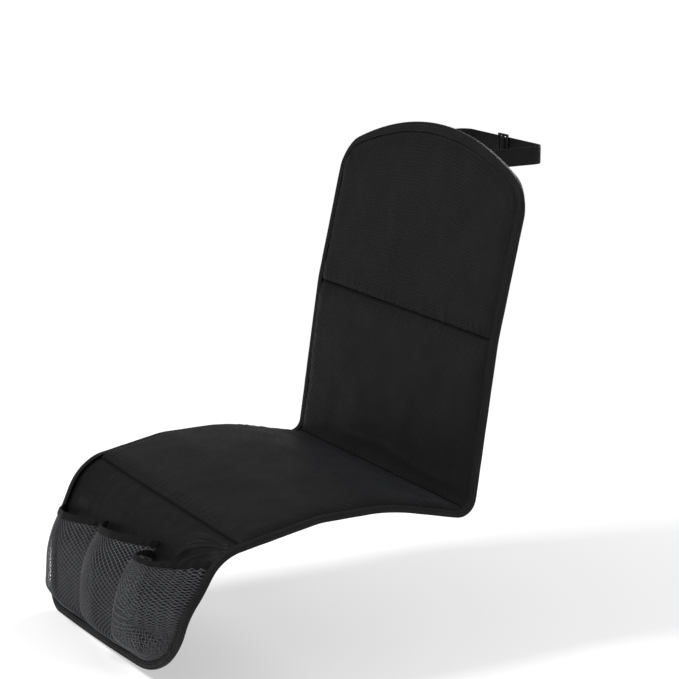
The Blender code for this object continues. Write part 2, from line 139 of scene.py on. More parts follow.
# %% The drape of a flat point
FLAP_SKEW = 0.006  # how far the right side comes forward and the left side goes back
FLAP_TILT = math.radians(10.0)  # the slope of the front slope, along which they do
FLAP_RISE = 0.015
FLAP_SAG = 0.006
FLAP_PULL = 0.012


def drape(x, s, n):
    """World points of flat points: x across, s along and n off the underside.

    y and z are the curve's point at s plus n times its normal. Near the upper edge s grows with an arch across
    the mat. Over the front slope the mat turns askew. Below the front seam the flap rises towards its right side
    and sags by a parabola across, both in step with the distance, and its left edge comes in by half a sine.
    """
    x, s, n = np.broadcast_arrays(x, s, n)
    across = x / HALF_WIDTH
    lift = np.clip((s - UPPER_START) / UPPER_LENGTH, 0, 1)
    s = s + TOP_ARCH * lift * (1 - across**2)
    slope, y, z = on_curve(s)
    front = RUN_LENGTH["front slope"]
    askew = FLAP_SKEW * across * np.clip((FRONT_SEAM + front - s) / front, 0, 1)
    down = np.clip((FRONT_SEAM - s) / (FRONT_SEAM - FLAP_END), 0, 1)
    raised = (FLAP_RISE * across - FLAP_SAG * (1 - across**2)) * down
    x = x - FLAP_PULL * np.minimum(across, 0) * np.sin(math.pi * down)
    y = y - n * np.sin(slope) - askew * math.cos(FLAP_TILT)
    z = z + n * np.cos(slope) - askew * math.sin(FLAP_TILT) + raised
    return np.stack([x, y, z], axis=-1)


def round_corners(x, s):
    """Squares about a corner's centre become circles of the same size, so seam allowances keep their width."""
    x, s = np.broadcast_arrays(x, s)
    for end, towards, left, right in CORNERS:
        radius = np.where(x < 0, left, right)
        out = np.abs(x) - (HALF_WIDTH - radius)
        along = (s - end) * towards + radius
        reach = np.maximum(np.maximum(out, along), 1e-9)
        angle = math.pi / 4 * (1 + (along - out) / reach)
        corner = (out > 0) & (along > 0)
        x = np.where(corner, np.sign(x) * (HALF_WIDTH - radius + reach * np.cos(angle)), x)
        s = np.where(corner, end + towards * (reach * np.sin(angle) - radius), s)
    return x, s


def lay(x, s, n):
    """World points of a flat layout with square corners."""
    return drape(*round_corners(x, s), n)


print("the drape runs from", np.round(drape(0, FLAP_END, 0), 3), "to", np.round(drape(0, TOP_END, 0), 3))

# %% [markdown]
# ## Noise and wrinkles
# Real cloth is never even. A grid of random numbers, blended smoothly from one to the next, gives slow
# unevenness, and the same numbers come out on every run because the generator is seeded.

# %% Smooth noise over the flat cloth
NOISE_CELLS = 128
NOISE_SHIFT = 40.0  # cells between the grid's corner and the flat mat's origin


def noise(x, s, size, seed):
    """Random values on a square grid of the given size, blended with a smooth step between grid points."""
    values = np.random.default_rng(seed).uniform(-1, 1, (NOISE_CELLS, NOISE_CELLS))
    u, v = np.broadcast_arrays(np.asarray(x) / size + NOISE_SHIFT, np.asarray(s) / size + NOISE_SHIFT)
    i, j = np.floor(u).astype(int), np.floor(v).astype(int)
    a, b = [share * share * (3 - 2 * share) for share in (u - i, v - j)]
    corner = [[values[(i + p) % NOISE_CELLS, (j + q) % NOISE_CELLS] for q in (0, 1)] for p in (0, 1)]
    near = corner[0][0] * (1 - a) + corner[1][0] * a
    far = corner[0][1] * (1 - a) + corner[1][1] * a
    return near * (1 - b) + far * b


def bell(value, centre, width):
    """One at the centre, falling off evenly on both sides over the width."""
    return np.exp(-(((value - centre) / width) ** 2))


def wave(share):
    """A sine that repeats with every whole share."""
    return np.sin(2 * math.pi * share)


print("noise from", noise(0, SPINE_S, 0.05, 1).min().round(2), "to", noise(0, SPINE_S, 0.05, 1).max().round(2))

# %% [markdown]
# ## Meshes from arrays
# Every piece is a grid of points, or rings of points along a path. Faces only join neighbours, so they can
# be made from the grid's numbering. Each mesh also keeps the flat position of its points as a UV map, in
# metres: a weave laid on it runs with the cloth's threads, as it does on the real piece.

# %% Mesh makers
PIECES = []


def make_piece(name, points, faces, flat, material, replaced=()):
    """A smooth mesh object with its flat positions as a UV map, riding on the model's one body."""
    mesh = bpy.data.meshes.new(name)
    mesh.from_pydata(points.tolist(), [], faces)
    mesh.materials.append(material)
    mesh.polygons.foreach_set("use_smooth", np.ones(len(mesh.polygons), bool))
    corners = np.empty(len(mesh.loops), np.int32)
    mesh.loops.foreach_get("vertex_index", corners)
    layer = mesh.uv_layers.new(name="flat")
    layer.data.foreach_set("uv", np.asarray(flat, np.float32)[corners].ravel())
    piece = bpy.data.objects.new(name, mesh)
    bpy.context.scene.collection.objects.link(piece)
    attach(piece, "root")
    if replaced:
        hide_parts(*replaced)
    PIECES.append(piece)
    return piece


def grid_quads(rows, columns):
    """Quads between neighbours of a grid whose points are numbered row by row."""
    a = (np.arange(rows - 1)[:, None] * columns + np.arange(columns - 1)[None, :]).ravel()
    return np.stack([a, a + 1, a + columns + 1, a + columns], axis=1)


def ring_quads(rings, sides):
    """Quads of the wall through rings of points that are numbered ring by ring."""
    i = np.arange(rings - 1)[:, None] * sides
    j = np.arange(sides)[None, :]
    k = (j + 1) % sides
    return np.stack([i + j, i + k, i + sides + k, i + sides + j], axis=-1).reshape(-1, 4)


def rim_loop(rows, columns):
    """The numbers of a grid's outermost points, in order round it."""
    number = np.arange(rows * columns).reshape(rows, columns)
    return np.concatenate([number[0, :], number[1:, -1], number[-1, -2::-1], number[-2:0:-1, 0]])


def cloth_shell(name, x, s, low, high, material, replaced):
    """A closed sheet between two heights, of its underside and its upper side, over the flat grid of x and s."""
    x, s, low, high = np.broadcast_arrays(x, s, low, high)
    rows, columns = x.shape
    count = rows * columns
    points = np.concatenate([lay(x, s, height).reshape(-1, 3) for height in (low, high)])
    loop = rim_loop(rows, columns)
    after = np.roll(loop, -1)
    rim = np.stack([after, after + count, loop + count, loop], axis=1)
    quads = grid_quads(rows, columns)
    faces = np.concatenate([quads[:, ::-1], quads + count, rim]).tolist()
    flat = np.stack([x.ravel(), s.ravel()], axis=1)
    return make_piece(name, points, faces, np.tile(flat, (2, 1)), material, replaced)


def swept_shell(name, rings, flat, material, replaced):
    """A closed tube through rings of points: rings, sides, 3. flat holds each point's flat position."""
    count, sides, _ = rings.shape
    ends = [list(range(sides))[::-1], [(count - 1) * sides + j for j in range(sides)]]
    faces = ring_quads(count, sides).tolist() + ends
    return make_piece(name, rings.reshape(-1, 3), faces, flat.reshape(-1, 2), material, replaced)


def walked_along(points):
    """The length walked along a line of flat points up to each of them."""
    return np.concatenate([[0.0], np.cumsum(np.hypot(*np.diff(points, axis=0).T))])


print("a grid of 3 by 4 points has", len(grid_quads(3, 4)), "quads and a rim of", len(rim_loop(3, 4)), "points")

# %% [markdown]
# ## Colours and shader nodes
# Colours are written as they look on a screen, in hex, and one function turns them into the linear values
# that the renderer works in. One more small function adds a shader node with its settings and its links.


# %% Colour and node helpers
def linear(hex_colour):
    """Linear red, green, blue and alpha of an sRGB hex colour."""
    parts = [int(hex_colour[i : i + 2], 16) / 255 for i in (1, 3, 5)]
    return [c / 12.92 if c <= 0.04045 else ((c + 0.055) / 1.055) ** 2.4 for c in parts] + [1.0]


def add(tree, kind, inputs=(), **settings):
    """A shader node: settings are its own properties, and inputs are (socket, value or linked output)."""
    node = tree.nodes.new(kind)
    for name, value in settings.items():
        setattr(node, name, value)
    for socket, value in inputs:
        if isinstance(value, bpy.types.NodeSocket):
            tree.links.new(value, node.inputs[socket])
        else:
            node.inputs[socket].default_value = value
    return node


def math_node(tree, operation, a, b=0.0):
    """The output of one arithmetic step on two values or linked outputs."""
    return add(tree, "ShaderNodeMath", [(0, a), (1, b)], operation=operation).outputs[0]


def new_material(name):
    """A new material with its tree and its Principled shader."""
    material = bpy.data.materials.new(name)
    material.use_nodes = True
    return material, material.node_tree, material.node_tree.nodes["Principled BSDF"]


def tone_and_roughness(tree, shader, share, dark, light, grain, roughness, spread):
    """Colour between dark and light by the share, and roughness that wanders about its value with the grain."""
    colour = add(tree, "ShaderNodeMix", [(0, share), (6, linear(dark)), (7, linear(light))], data_type="RGBA")
    tree.links.new(colour.outputs[2], shader.inputs["Base Color"])
    uneven = math_node(tree, "MULTIPLY", grain, spread)
    tree.links.new(math_node(tree, "ADD", uneven, roughness - spread / 2), shader.inputs["Roughness"])


def relief(tree, shader, height, distance, strength):
    """Bump from a height between about 0 and 1 that stands for the given distance."""
    bump = add(tree, "ShaderNodeBump", [("Height", height), ("Distance", distance), ("Strength", strength)])
    tree.links.new(bump.outputs[0], shader.inputs["Normal"])


print("mid grey #808080 is", round(linear("#808080")[0], 3), "in linear light")

# %% [markdown]
# ## Woven polyester
# The mat's face is a tight plain weave of textured polyester yarn, dyed black and coated on the back. The
# eye sees it as nearly black, with a soft grey sheen where it turns from the light, and a fine basket of
# crossing threads close up. A plain weave is two sets of ribs that take turns on top, so the height is one
# set of ribs on the squares where the lengthwise thread is up, and the other set elsewhere. The colour
# follows that height too: painted shade low between the threads, lighter on their tops. Real threads
# lie about 0.6 mm apart. That is too fine for the picture, so here they are drawn 1.4 to 3 mm apart. The
# panels' canvas is cut on the slant, so its threads run diagonally. The flap's lining is smoother and has a
# satin gloss.


# %% Cloth materials
def thread_heights(tree, place, pitch, turn):
    """Height of a plain weave from 0 to 1 over the flat places, with threads at the given pitches in metres."""
    scale = (1 / pitch[0], 1 / pitch[1], 1.0)
    laid = add(tree, "ShaderNodeMapping", [("Vector", place), ("Rotation", (0.0, 0.0, turn)), ("Scale", scale)])
    split = add(tree, "ShaderNodeSeparateXYZ", [(0, laid.outputs["Vector"])])
    ribs = []
    for axis in (0, 1):
        share = math_node(tree, "FRACT", split.outputs[axis])
        ribs.append(math_node(tree, "SINE", math_node(tree, "MULTIPLY", share, math.pi)))
    parity = [math_node(tree, "FLOOR", split.outputs[axis]) for axis in (0, 1)]
    odd = math_node(tree, "MODULO", math_node(tree, "ADD", *parity), 2.0)
    odd = math_node(tree, "ABSOLUTE", odd)
    return add(tree, "ShaderNodeMix", [(0, odd), (2, ribs[0]), (3, ribs[1])], data_type="FLOAT").outputs[0]


def woven(name, dark, light, pitch, roughness, sheen, mirror, bump, turn=0.0):
    """Cloth of crossing threads: painted shade between them and lighter tops, with slow unevenness in colour.

    Threads shade one another, so the mirror-like share of the light is a small part of what a film would give.
    """
    material, tree, shader = new_material(name)
    place = add(tree, "ShaderNodeUVMap", uv_map="flat").outputs["UV"]
    height = thread_heights(tree, place, pitch, turn)
    cloud = add(tree, "ShaderNodeTexNoise", [("Vector", place), ("Scale", 24.0), ("Detail", 3.0)]).outputs[0]
    fuzz = add(tree, "ShaderNodeTexNoise", [("Vector", place), ("Scale", 900.0), ("Detail", 2.0)]).outputs[0]
    # painted shade: the weave's height darkens the colour between the threads and lightens their tops; the cloud
    # adds random unevenness of tone
    share = math_node(tree, "MULTIPLY", height, 0.6)
    share = math_node(tree, "ADD", share, math_node(tree, "MULTIPLY", cloud, 0.35))
    tone_and_roughness(tree, shader, share, dark, light, fuzz, roughness, 0.18)
    shader.inputs["IOR"].default_value = 1.5
    shader.inputs["Specular IOR Level"].default_value = mirror
    shader.inputs["Sheen Weight"].default_value = sheen
    shader.inputs["Sheen Roughness"].default_value = 0.40
    shader.inputs["Sheen Tint"].default_value = linear("#b9bcc4")
    relief(tree, shader, math_node(tree, "ADD", height, math_node(tree, "MULTIPLY", fuzz, 0.35)), bump, 0.8)
    return material


# The dark tone is painted shade between the threads and the light tone is the threads' tops; noise mixes in random
# unevenness of tone too.
CLOTHS = {  # dark and light tone, pitch across and along, roughness, sheen, mirror, relief, turn of the weave
    "woven_polyester_canvas": ("#040404", "#262627", (0.0026, 0.0026), 0.42, 0.05, 0.04, 0.0006, math.pi / 4),
    "woven_polyester_lining": ("#020202", "#101011", (0.0022, 0.0022), 0.30, 0.05, 0.10, 0.0003),
    "grosgrain_binding_tape": ("#060606", "#272728", (0.0014, 0.0030), 0.42, 0.05, 0.06, 0.0006),
    "ribbed_elastic": ("#050505", "#202021", (0.0020, 0.0014), 0.42, 0.04, 0.06, 0.0005),
    "polyester_webbing": ("#050505", "#232324", (0.0030, 0.0022), 0.42, 0.04, 0.06, 0.0008),
}
PANEL_CLOTH, FLAP_CLOTH, TAPE_CLOTH, ELASTIC, WEBBING = [woven(name, *look) for name, look in CLOTHS.items()]
print("cloth materials:", list(CLOTHS))

# %% [markdown]
# ## Thread, net and plastics
# The pockets are warp-knitted black nylon net. Its cords are bundles of filament that catch small
# highlights; their grey colour, lighter than the black net itself, is painted sheen, so that they read as
# grey lines on the black cloth behind them. The stitching is bonded polyester thread, a little shinier than
# the cloth. The slide is moulded acetal, and the grip sheet is a soft vinyl with a matt skin.


# %% Solid-coloured materials
def plain(name, dark, light, roughness, scale, mirror=0.5):
    """A one-colour finish with fine unevenness in tone and roughness, read from the object's own space."""
    material, tree, shader = new_material(name)
    place = add(tree, "ShaderNodeTexCoord").outputs["Object"]
    grain = add(tree, "ShaderNodeTexNoise", [("Vector", place), ("Scale", scale), ("Detail", 3.0)]).outputs[0]
    tone_and_roughness(tree, shader, grain, dark, light, grain, roughness, 0.2)
    relief(tree, shader, grain, 0.0001, 0.5)
    shader.inputs["Specular IOR Level"].default_value = mirror
    return material


# painted sheen: the net's grey tones are lighter than black nylon, so that its cords read as grey lines
NET_NYLON = plain("knitted_nylon_net", "#333438", "#66676b", 0.34, 900.0)
THREAD = plain("polyester_thread", "#161618", "#2c2c30", 0.50, 1200.0, 0.15)
VINYL_GRIP = plain("soft_vinyl_grip", "#1a1a1c", "#262629", 0.7, 500.0)
ACETAL = plain("moulded_acetal", "#0e0e10", "#161618", 0.34, 700.0)
print("solid finishes:", [m.name for m in (NET_NYLON, THREAD, VINYL_GRIP, ACETAL)])

# %% [markdown]
# ## Padded panels
# Each panel is canvas over thin foam, sewn down all round. Foam under a seam is squeezed flat and springs
# back within a few centimetres, so the height rises from the seam like a quarter of a circle. Thread pulls
# the cloth into small puckers along every seam, drag lines run in from them, and the foam folds where the
# mat turns up into its back.

# %% Panel heights
TAPE_WIDTH = 0.011
TAPE_INSET = 0.003
EDGE_HEIGHT = 0.0055
SEAM_HEIGHT = 0.0036
PADDING_RISE = 0.0062
SHOULDER = 0.024
PUCKER_INSET, PUCKER_REACH = 0.008, 0.010
DRAG_HEIGHT = 0.0007
CREASE_FOLDS = ((-0.030, 1.0), (0.034, 0.7))  # place from the crease, and share of the height
FOLD_WIDTH, FOLD_HEIGHT = 0.006, 0.0016


def puckers(from_seam, along, pitch, wander):
    """A wave along a seam, strongest a little way in from it, whose steps wander."""
    return bell(from_seam, PUCKER_INSET, PUCKER_REACH) * wave(along / pitch + 1.5 * wander)


def padding(x, s, start, end):
    """Upper side of a padded panel: seam height, the rise from the nearest seam, puckers, drag and noise."""
    from_side = np.clip(HALF_WIDTH - TAPE_WIDTH - np.abs(x), 0, None)
    from_ends = np.clip(np.minimum(s - start, end - s), 0, None)
    side, ends = [np.sqrt(1 - (1 - np.clip(d / SHOULDER, 0, 1)) ** 2) for d in (from_side, from_ends)]
    pulled = 0.00055 * puckers(from_ends, x, 0.012, noise(x, s, 0.03, 4)) * side
    pulled = pulled + 0.00045 * puckers(from_side, s, 0.014, noise(x, s, 0.04, 5)) * ends
    drag = np.exp(-from_ends / 0.035) * noise(x, 0.15 * s, 0.016, 8)
    drag = drag + np.exp(-from_side / 0.030) * noise(0.15 * x, s, 0.018, 9)
    slow = noise(x, s, 0.070, 1) * 0.0018 + noise(x, s, 0.026, 2) * 0.0006
    height = SEAM_HEIGHT + (EDGE_HEIGHT - SEAM_HEIGHT + PADDING_RISE) * side * ends
    return height + side * ends * (slow + DRAG_HEIGHT * drag) + pulled


def crease_folds(x, s):
    """Soft folds across the mat near the crease, which fade towards the sides."""
    wander = s + 0.006 * noise(x, 0 * s, 0.07, 7)
    fold = sum(share * bell(wander, CREASE_SEAM + place, FOLD_WIDTH) for place, share in CREASE_FOLDS)
    return FOLD_HEIGHT * fold * np.clip(1 - (x / HALF_WIDTH) ** 4, 0, 1)


def panel_top(x, s, start, end):
    """Upper side of the panel between two seams, with its folds."""
    return padding(x, s, start, end) + crease_folds(x, s)


# %% Panels
PANEL_STEP, PANEL_COLUMNS = 0.0035, 134


def padded_panel(name, node, start, end, taped=False):
    """A panel between two seams, or between a seam and the tape, under which it goes on."""
    sewn, last = (end - TAPE_WIDTH, end - TAPE_INSET) if taped else (end, end)
    s = np.linspace(start, last, 1 + round((last - start) / PANEL_STEP))[:, None]
    near, far = HALF_WIDTH - TAPE_WIDTH, HALF_WIDTH - TAPE_INSET
    x = np.concatenate([[-far], np.linspace(-near, near, PANEL_COLUMNS), [far]])[None, :]
    piece = cloth_shell(name, x, s, 0.0, panel_top(x, s, start, sewn), PANEL_CLOTH, (node,))


padded_panel("seat_panel_canvas", "seat_panel", FRONT_SEAM, CREASE_SEAM)
padded_panel("back_panel_lower_canvas", "back_panel_lower", CREASE_SEAM, BACK_SEAM)
padded_panel("back_panel_upper_canvas", "back_panel_upper", BACK_SEAM, TOP_END, True)
print("panels:", [(p.name, len(p.data.polygons)) for p in PIECES])

# %% [markdown]
# ## The grip sheet
# The underside of the seat panel carries a sheet of soft vinyl with rows of small domes, which keep the mat
# from sliding. A dome is a few rings and a pole. One dome is worked out once, and the whole field is that
# dome added to every place of a staggered grid.

# %% Grip sheet and domes
GRIP_LOW, GRIP_HIGH = -0.0011, -0.0002
GRIP_GAP = 0.0003  # between the sheet and the tape
DOME_PITCH, DOME_ROW = 0.013, 0.866  # and the rows' distance as a share of the pitch, as in even triangles
DOME_RADIUS = 0.0026
DOME_HEIGHT = 0.0009
DOME_SINK = 0.0001
DOME_SIDES = 8


def grip_sheet():
    """A thin sheet between the tapes."""
    s = np.linspace(FRONT_SEAM, CREASE_SEAM, 84)[:, None]
    x = np.linspace(-1, 1, 40)[None, :] * (HALF_WIDTH - TAPE_WIDTH - GRIP_GAP)
    replaced = ("seat_grip_backing",)
    sheet = cloth_shell("grip_backing_sheet", x, s, GRIP_LOW, GRIP_HIGH, VINYL_GRIP, replaced)


def grip_domes():
    """Domes whose height over their radius follows a cosine, all from one, in every second row half a pitch on."""
    rows = np.arange(FRONT_SEAM + 0.016, CREASE_SEAM - 0.012, DOME_PITCH * DOME_ROW)
    columns = np.arange(-0.208, 0.205, DOME_PITCH)
    shifted = columns[None, :] + DOME_PITCH / 2 * (np.arange(len(rows)) % 2)[:, None]
    centres = np.stack([shifted.ravel(), np.repeat(rows, len(columns))], axis=1)
    turns = np.linspace(0, 2 * math.pi, DOME_SIDES + 1)[:-1]
    shares = np.array([1.0, 0.8, 0.45])
    ring = DOME_RADIUS * shares[:, None] * np.stack([np.cos(turns), np.sin(turns)])[:, None, :]
    spots = np.concatenate([ring.reshape(2, -1).T, [[0.0, 0.0]]])
    depth = np.append(np.repeat(-DOME_HEIGHT * np.cos(shares * math.pi / 2), DOME_SIDES), -DOME_HEIGHT)
    flat = centres[:, None, :] + spots[None, :, :]
    points = drape(flat[..., 0], flat[..., 1], GRIP_LOW + DOME_SINK + depth[None, :])
    base = np.arange(len(centres))[:, None, None] * len(spots)
    around = np.arange(DOME_SIDES)
    last = (len(shares) - 1) * DOME_SIDES
    cap = np.stack([np.full(DOME_SIDES, len(spots) - 1), last + np.roll(around, -1), last + around], axis=1)
    wall = (base + ring_quads(len(shares), DOME_SIDES)[:, ::-1]).reshape(-1, 4).tolist()
    faces = wall + (base + cap).reshape(-1, 3).tolist() + (base[:, 0] + around).tolist()
    make_piece("grip_domes", points.reshape(-1, 3), faces, flat.reshape(-1, 2), VINYL_GRIP)
    return len(centres)


grip_sheet()
print("grip domes:", grip_domes())

# %% [markdown]
# ## The flap
# The flap is a single layer of cloth. It hangs from the front seam, and the weight in the pockets pulls it
# from one side, so folds run in from the right edge just below the seam and spread out like a fan. Each
# fold is a ripple in the angle about one point near that edge, which grows with the distance from it and
# then dies away. The grid is finer where the folds are, so that each has enough points across it.

# %% Flap cloth
FLAP_THICKNESS = 0.0022
FLAP_SHOULDER = 0.006  # over which unevenness starts inside the tape and below the seam
FAN_POINT = (0.236, FRONT_SEAM - 0.004)
FAN_REACH, FAN_HEIGHT = 0.085, 0.105
FAN_RIPPLES = 25.0
FAN_AIM, FAN_SPREAD = -0.42, 0.60


def fan_folds(x, s):
    """Ripples in the angle about the fan's point, times a hump in the distance from it."""
    across, along = FAN_POINT[0] - x, s - FAN_POINT[1]
    distance = np.hypot(across, along)
    angle = np.arctan2(along, across) + 0.10 * noise(x, s, 0.06, 11)
    hump = distance * bell(distance, 0, FAN_REACH)
    ridge = (0.5 + 0.5 * np.sin(FAN_RIPPLES * angle)) ** 1.2
    return FAN_HEIGHT * hump * ridge * (1 + 0.6 * noise(x, s, 0.03, 12)) * bell(angle, FAN_AIM, FAN_SPREAD)


def flap_height(x, s):
    """Upper side of the flap's cloth: its thickness, the fan of folds and a little unevenness."""
    inside = np.clip((HALF_WIDTH - TAPE_WIDTH - np.abs(x)) / FLAP_SHOULDER, 0, 1)
    below_seam = np.clip((FRONT_SEAM - s) / FLAP_SHOULDER, 0, 1)
    slow = 0.0010 * noise(x, s, 0.05, 13) + 0.0005 * noise(x, s, 0.018, 14) + 0.0008
    return FLAP_THICKNESS + inside * below_seam * (fan_folds(x, s) + slow)


def two_steps(start, change, end, coarse, fine):
    """Places from start to end, fewer before the change and more after it."""
    return np.concatenate([np.linspace(start, change, coarse)[:-1], np.linspace(change, end, fine)])


flap_s = two_steps(FLAP_END + TAPE_INSET, FRONT_SEAM - 0.100, FRONT_SEAM, 50, 82)[:, None]
flap_x = two_steps(-HALF_WIDTH + TAPE_INSET, 0.060, HALF_WIDTH - TAPE_INSET, 100, 140)[None, :]
flap_high = flap_height(flap_x, flap_s)
flap_low = np.clip(flap_high - FLAP_THICKNESS, 0, None)
flap = cloth_shell("flap_cloth", flap_x, flap_s, flap_low, flap_high, FLAP_CLOTH, ("front_flap",))
print("flap faces:", len(flap.data.polygons))

# %% [markdown]
# ## Net pockets
# Each pocket is a piece of net, cut wider than its place and gathered into the seams, so that it stands out
# and can hold things. It is full from a little under half its height up to its mouth, and the spare width
# lies in pleats along the seams. The right pocket has most to spare, and pleats fill its outer side.

# %% Pocket shapes
DIVIDERS = (-0.078, 0.078)
POCKET_LOW = FLAP_END + TAPE_WIDTH
POCKETS = {
    "left": dict(span=(-HALF_WIDTH + TAPE_WIDTH, DIVIDERS[0]), drops=(0.089, 0.076), sag=0.010, depth=0.034),
    "middle": dict(span=DIVIDERS, drops=(0.076, 0.063), sag=0.010, depth=0.044),
    "right": dict(span=(DIVIDERS[1], HALF_WIDTH - TAPE_WIDTH), drops=(0.077, 0.050), sag=0.022, depth=0.056),
}
FULLEST = {"left": 0.50, "middle": 0.50, "right": 0.44}  # where across each pocket it stands out furthest
PLEATED = {"left": 0.12, "middle": 0.12, "right": 0.40}  # how much of its outer side lies in pleats
INNER_PLEATED = 0.12
PLEAT_PITCH, PLEAT_HEIGHT = 0.0105, 0.0036
FULL_FROM = 0.42  # how far up a pocket it is full
MOUTH_PINCH = 0.10
NET_OFF = 0.0006  # between the flap's cloth and the net


def mouth(pocket, x):
    """Where the net ends: a straight line across the pocket that sags between its seams."""
    left, right = pocket["span"]
    start, end = pocket["drops"]
    share = np.clip((x - left) / (right - left), 0, 1)
    return FRONT_SEAM - start + (start - end) * share - pocket["sag"] * np.sin(math.pi * share)


def pocket_ends(pocket):
    """Where the net and its band end across: at a divider, or under the tape at the flap's own side."""
    left, right = pocket["span"]
    outer = HALF_WIDTH - TAPE_INSET
    return (-outer if left < DIVIDERS[0] else left), (outer if right > DIVIDERS[1] else right)


def pleats(side, x, s, u, v):
    """Ripples across the net beside its seams, which fade out at the seams and at the pocket's bottom."""
    beside = np.clip(1 - (1 - u) / PLEATED[side], 0, 1) + np.clip(1 - u / INNER_PLEATED, 0, 1)
    fold = wave(x / PLEAT_PITCH + 0.35 * noise(x, s, 0.05, 23) + 1.2 * v)
    ends = np.clip(v / 0.1, 0, 1) * np.clip(u * (1 - u) / 0.02, 0, 1)
    return PLEAT_HEIGHT * np.sqrt(beside) * (0.6 + 0.5 * fold) * ends


def pocket_height(side, x, s):
    """How far the net stands off: a sine across times a quarter sine up, a pinched mouth, lumps and pleats."""
    pocket = POCKETS[side]
    left, right = pocket["span"]
    v = np.clip((s - POCKET_LOW) / (mouth(pocket, x) - POCKET_LOW), 0, 1)
    u = np.clip((x - left) / (right - left), 0, 1)
    across = np.sin(math.pi * u ** (math.log(0.5) / math.log(FULLEST[side]))) ** 0.9
    up = np.sin(math.pi / 2 * np.clip(v / FULL_FROM, 0, 1))
    pinch = 1 - MOUTH_PINCH * np.clip((v - FULL_FROM) / (1 - FULL_FROM), 0, 1) ** 2
    lumps = 1 + 0.10 * noise(x, s, 0.050, 21) + 0.05 * noise(x, s, 0.022, 22)
    full = pocket["depth"] * across * up * pinch * lumps
    return flap_height(x, s) + NET_OFF + full + pleats(side, x, s, u, v)


print("mouths reach", [round(float(mouth(p, np.mean(p["span"]))) - FLAP_END, 3) for p in POCKETS.values()], "m up")

# %% [markdown]
# ## Knitting the net
# The net's holes are diamonds with soft corners. Its cords meet at the points of a staggered lattice, four
# to a hole. A solid sheet with a picture of holes would look flat from the side, so every hole is real
# here: each diamond is a ring of faces from the cords' ridge down to the hole's edge, above and below, and
# together the rings make round cords. Such nets have holes of a few millimetres. They are drawn large here,
# 6.6 mm from point to point, so that they show.

# %% Net maker
HOLE_ACROSS = 0.0066
HOLE_ALONG = 0.0056
CORD_THICKNESS = 0.0009
RING_CORNER = 0.78
RING_MIDDLE = 0.82


def net_lattice(across, rows):
    """Lattice points as shares across and up, odd rows half a hole on, and the four corners of each diamond.

    The corners are the bottom, right, top and left one. A diamond counts if its middle is between the sides.
    """
    columns = across + 3
    row, column = np.meshgrid(np.arange(rows), np.arange(columns), indexing="ij")
    u = (column - 1 + 0.5 * (row % 2)) / across
    points = np.stack([u.ravel(), (row / (rows - 1)).ravel()], axis=1)
    row, column = row[:-2, 1:-1], column[:-2, 1:-1]
    bottom = row * columns + column
    left = (row + 1) * columns + column - 1 + row % 2
    cells = np.stack([bottom, left + 1, bottom + 2 * columns, left], axis=-1).reshape(-1, 4)
    middle = points[cells].mean(axis=1)[:, 0]
    return points, cells[(middle > 0.0) & (middle < 1.0)]


def net_cords(corners, cells):
    """Shares across and up, lifts off the middle of the cord, and faces of all cords.

    Ridge points lie at a diamond's corners and at the middles of its sides, above and below. The points of the
    hole's edge are its ridge points drawn in towards the diamond's middle, less so at the sides.
    """
    sides = np.stack([cells, np.roll(cells, -1, axis=1)], axis=-1).reshape(-1, 2)
    edges, edge_of, used = np.unique(np.sort(sides, axis=1), axis=0, return_inverse=True, return_counts=True)
    edge_of = edge_of.reshape(-1, 4)
    ridge = np.concatenate([corners, corners[edges].mean(axis=1)])
    count = len(ridge)
    outer = np.stack([cells, edge_of + len(corners)], axis=-1).reshape(-1, 8)
    middle = ridge[cells].mean(axis=1)[:, None, :]
    hole = middle + (ridge[outer] - middle) * np.tile([RING_CORNER, RING_MIDDLE], 4)[None, :, None]
    shares = np.concatenate([ridge, ridge, hole.reshape(-1, 2)])
    lift = np.repeat([CORD_THICKNESS / 2, -CORD_THICKNESS / 2, 0.0], [count, count, outer.size])
    inner = 2 * count + np.arange(outer.size).reshape(-1, 8)
    after, inner_after = np.roll(outer, -1, axis=1), np.roll(inner, -1, axis=1)
    upper = np.stack([outer, after, inner_after, inner], axis=-1).reshape(-1, 4)
    lower = np.stack([after, outer, inner, inner_after], axis=-1).reshape(-1, 4)
    lower = np.where(lower < count, lower + count, lower)
    alone = used[edge_of.ravel()] == 1
    start, halfway, stop = [line.ravel()[alone] for line in (outer[:, 0::2], outer[:, 1::2], after[:, 1::2])]
    halves = np.concatenate([np.stack([halfway, start], 1), np.stack([stop, halfway], 1)])
    return shares, lift, np.concatenate([upper, lower, np.hstack([halves, halves[:, ::-1] + count])])


def net_mesh(side):
    """The net over a pocket, with as many rows of holes as fit its tallest line and as many across as fit its
    width.
    """
    pocket = POCKETS[side]
    low = FLAP_END + TAPE_INSET
    x_from, x_to = pocket_ends(pocket)
    tall = float(np.max(mouth(pocket, np.linspace(*pocket["span"], 50)))) - low
    rows = 2 * round(tall / HOLE_ALONG) + 1
    corners, cells = net_lattice(round((x_to - x_from) / HOLE_ACROSS), rows)
    shares, lift, faces = net_cords(corners, cells)
    x = x_from + (x_to - x_from) * np.clip(shares[:, 0], 0, 1)
    s = low + (mouth(pocket, x) - low) * shares[:, 1]
    points = lay(x, s, pocket_height(side, x, s) + CORD_THICKNESS / 2 + lift)
    kept, faces = np.unique(faces, return_inverse=True)
    faces = faces.reshape(-1, 4).tolist()
    flat = np.stack([x, s], axis=1)[kept]
    replaced = (f"pocket_net_{side}",)
    piece = make_piece(f"net_{side}", points[kept], faces, flat, NET_NYLON, replaced)


for side in POCKETS:
    net_mesh(side)

# %% [markdown]
# ## Elastic along the mouths
# A folded elastic closes each mouth. It is ribbed along its length, and it waves a little, because it was
# stretched while it was sewn on. A rounded strip carried along the mouth's line does it: the ring of each
# cross-section lies on the net, leans with it, and lifts slightly here and there.

# %% Mouth bands
BAND_HEIGHT = 0.0095
BAND_THICKNESS = 0.0024
BAND_GATHER = 0.0010
RIB_PITCH, RIB_HEIGHT = 0.0016, 0.00018


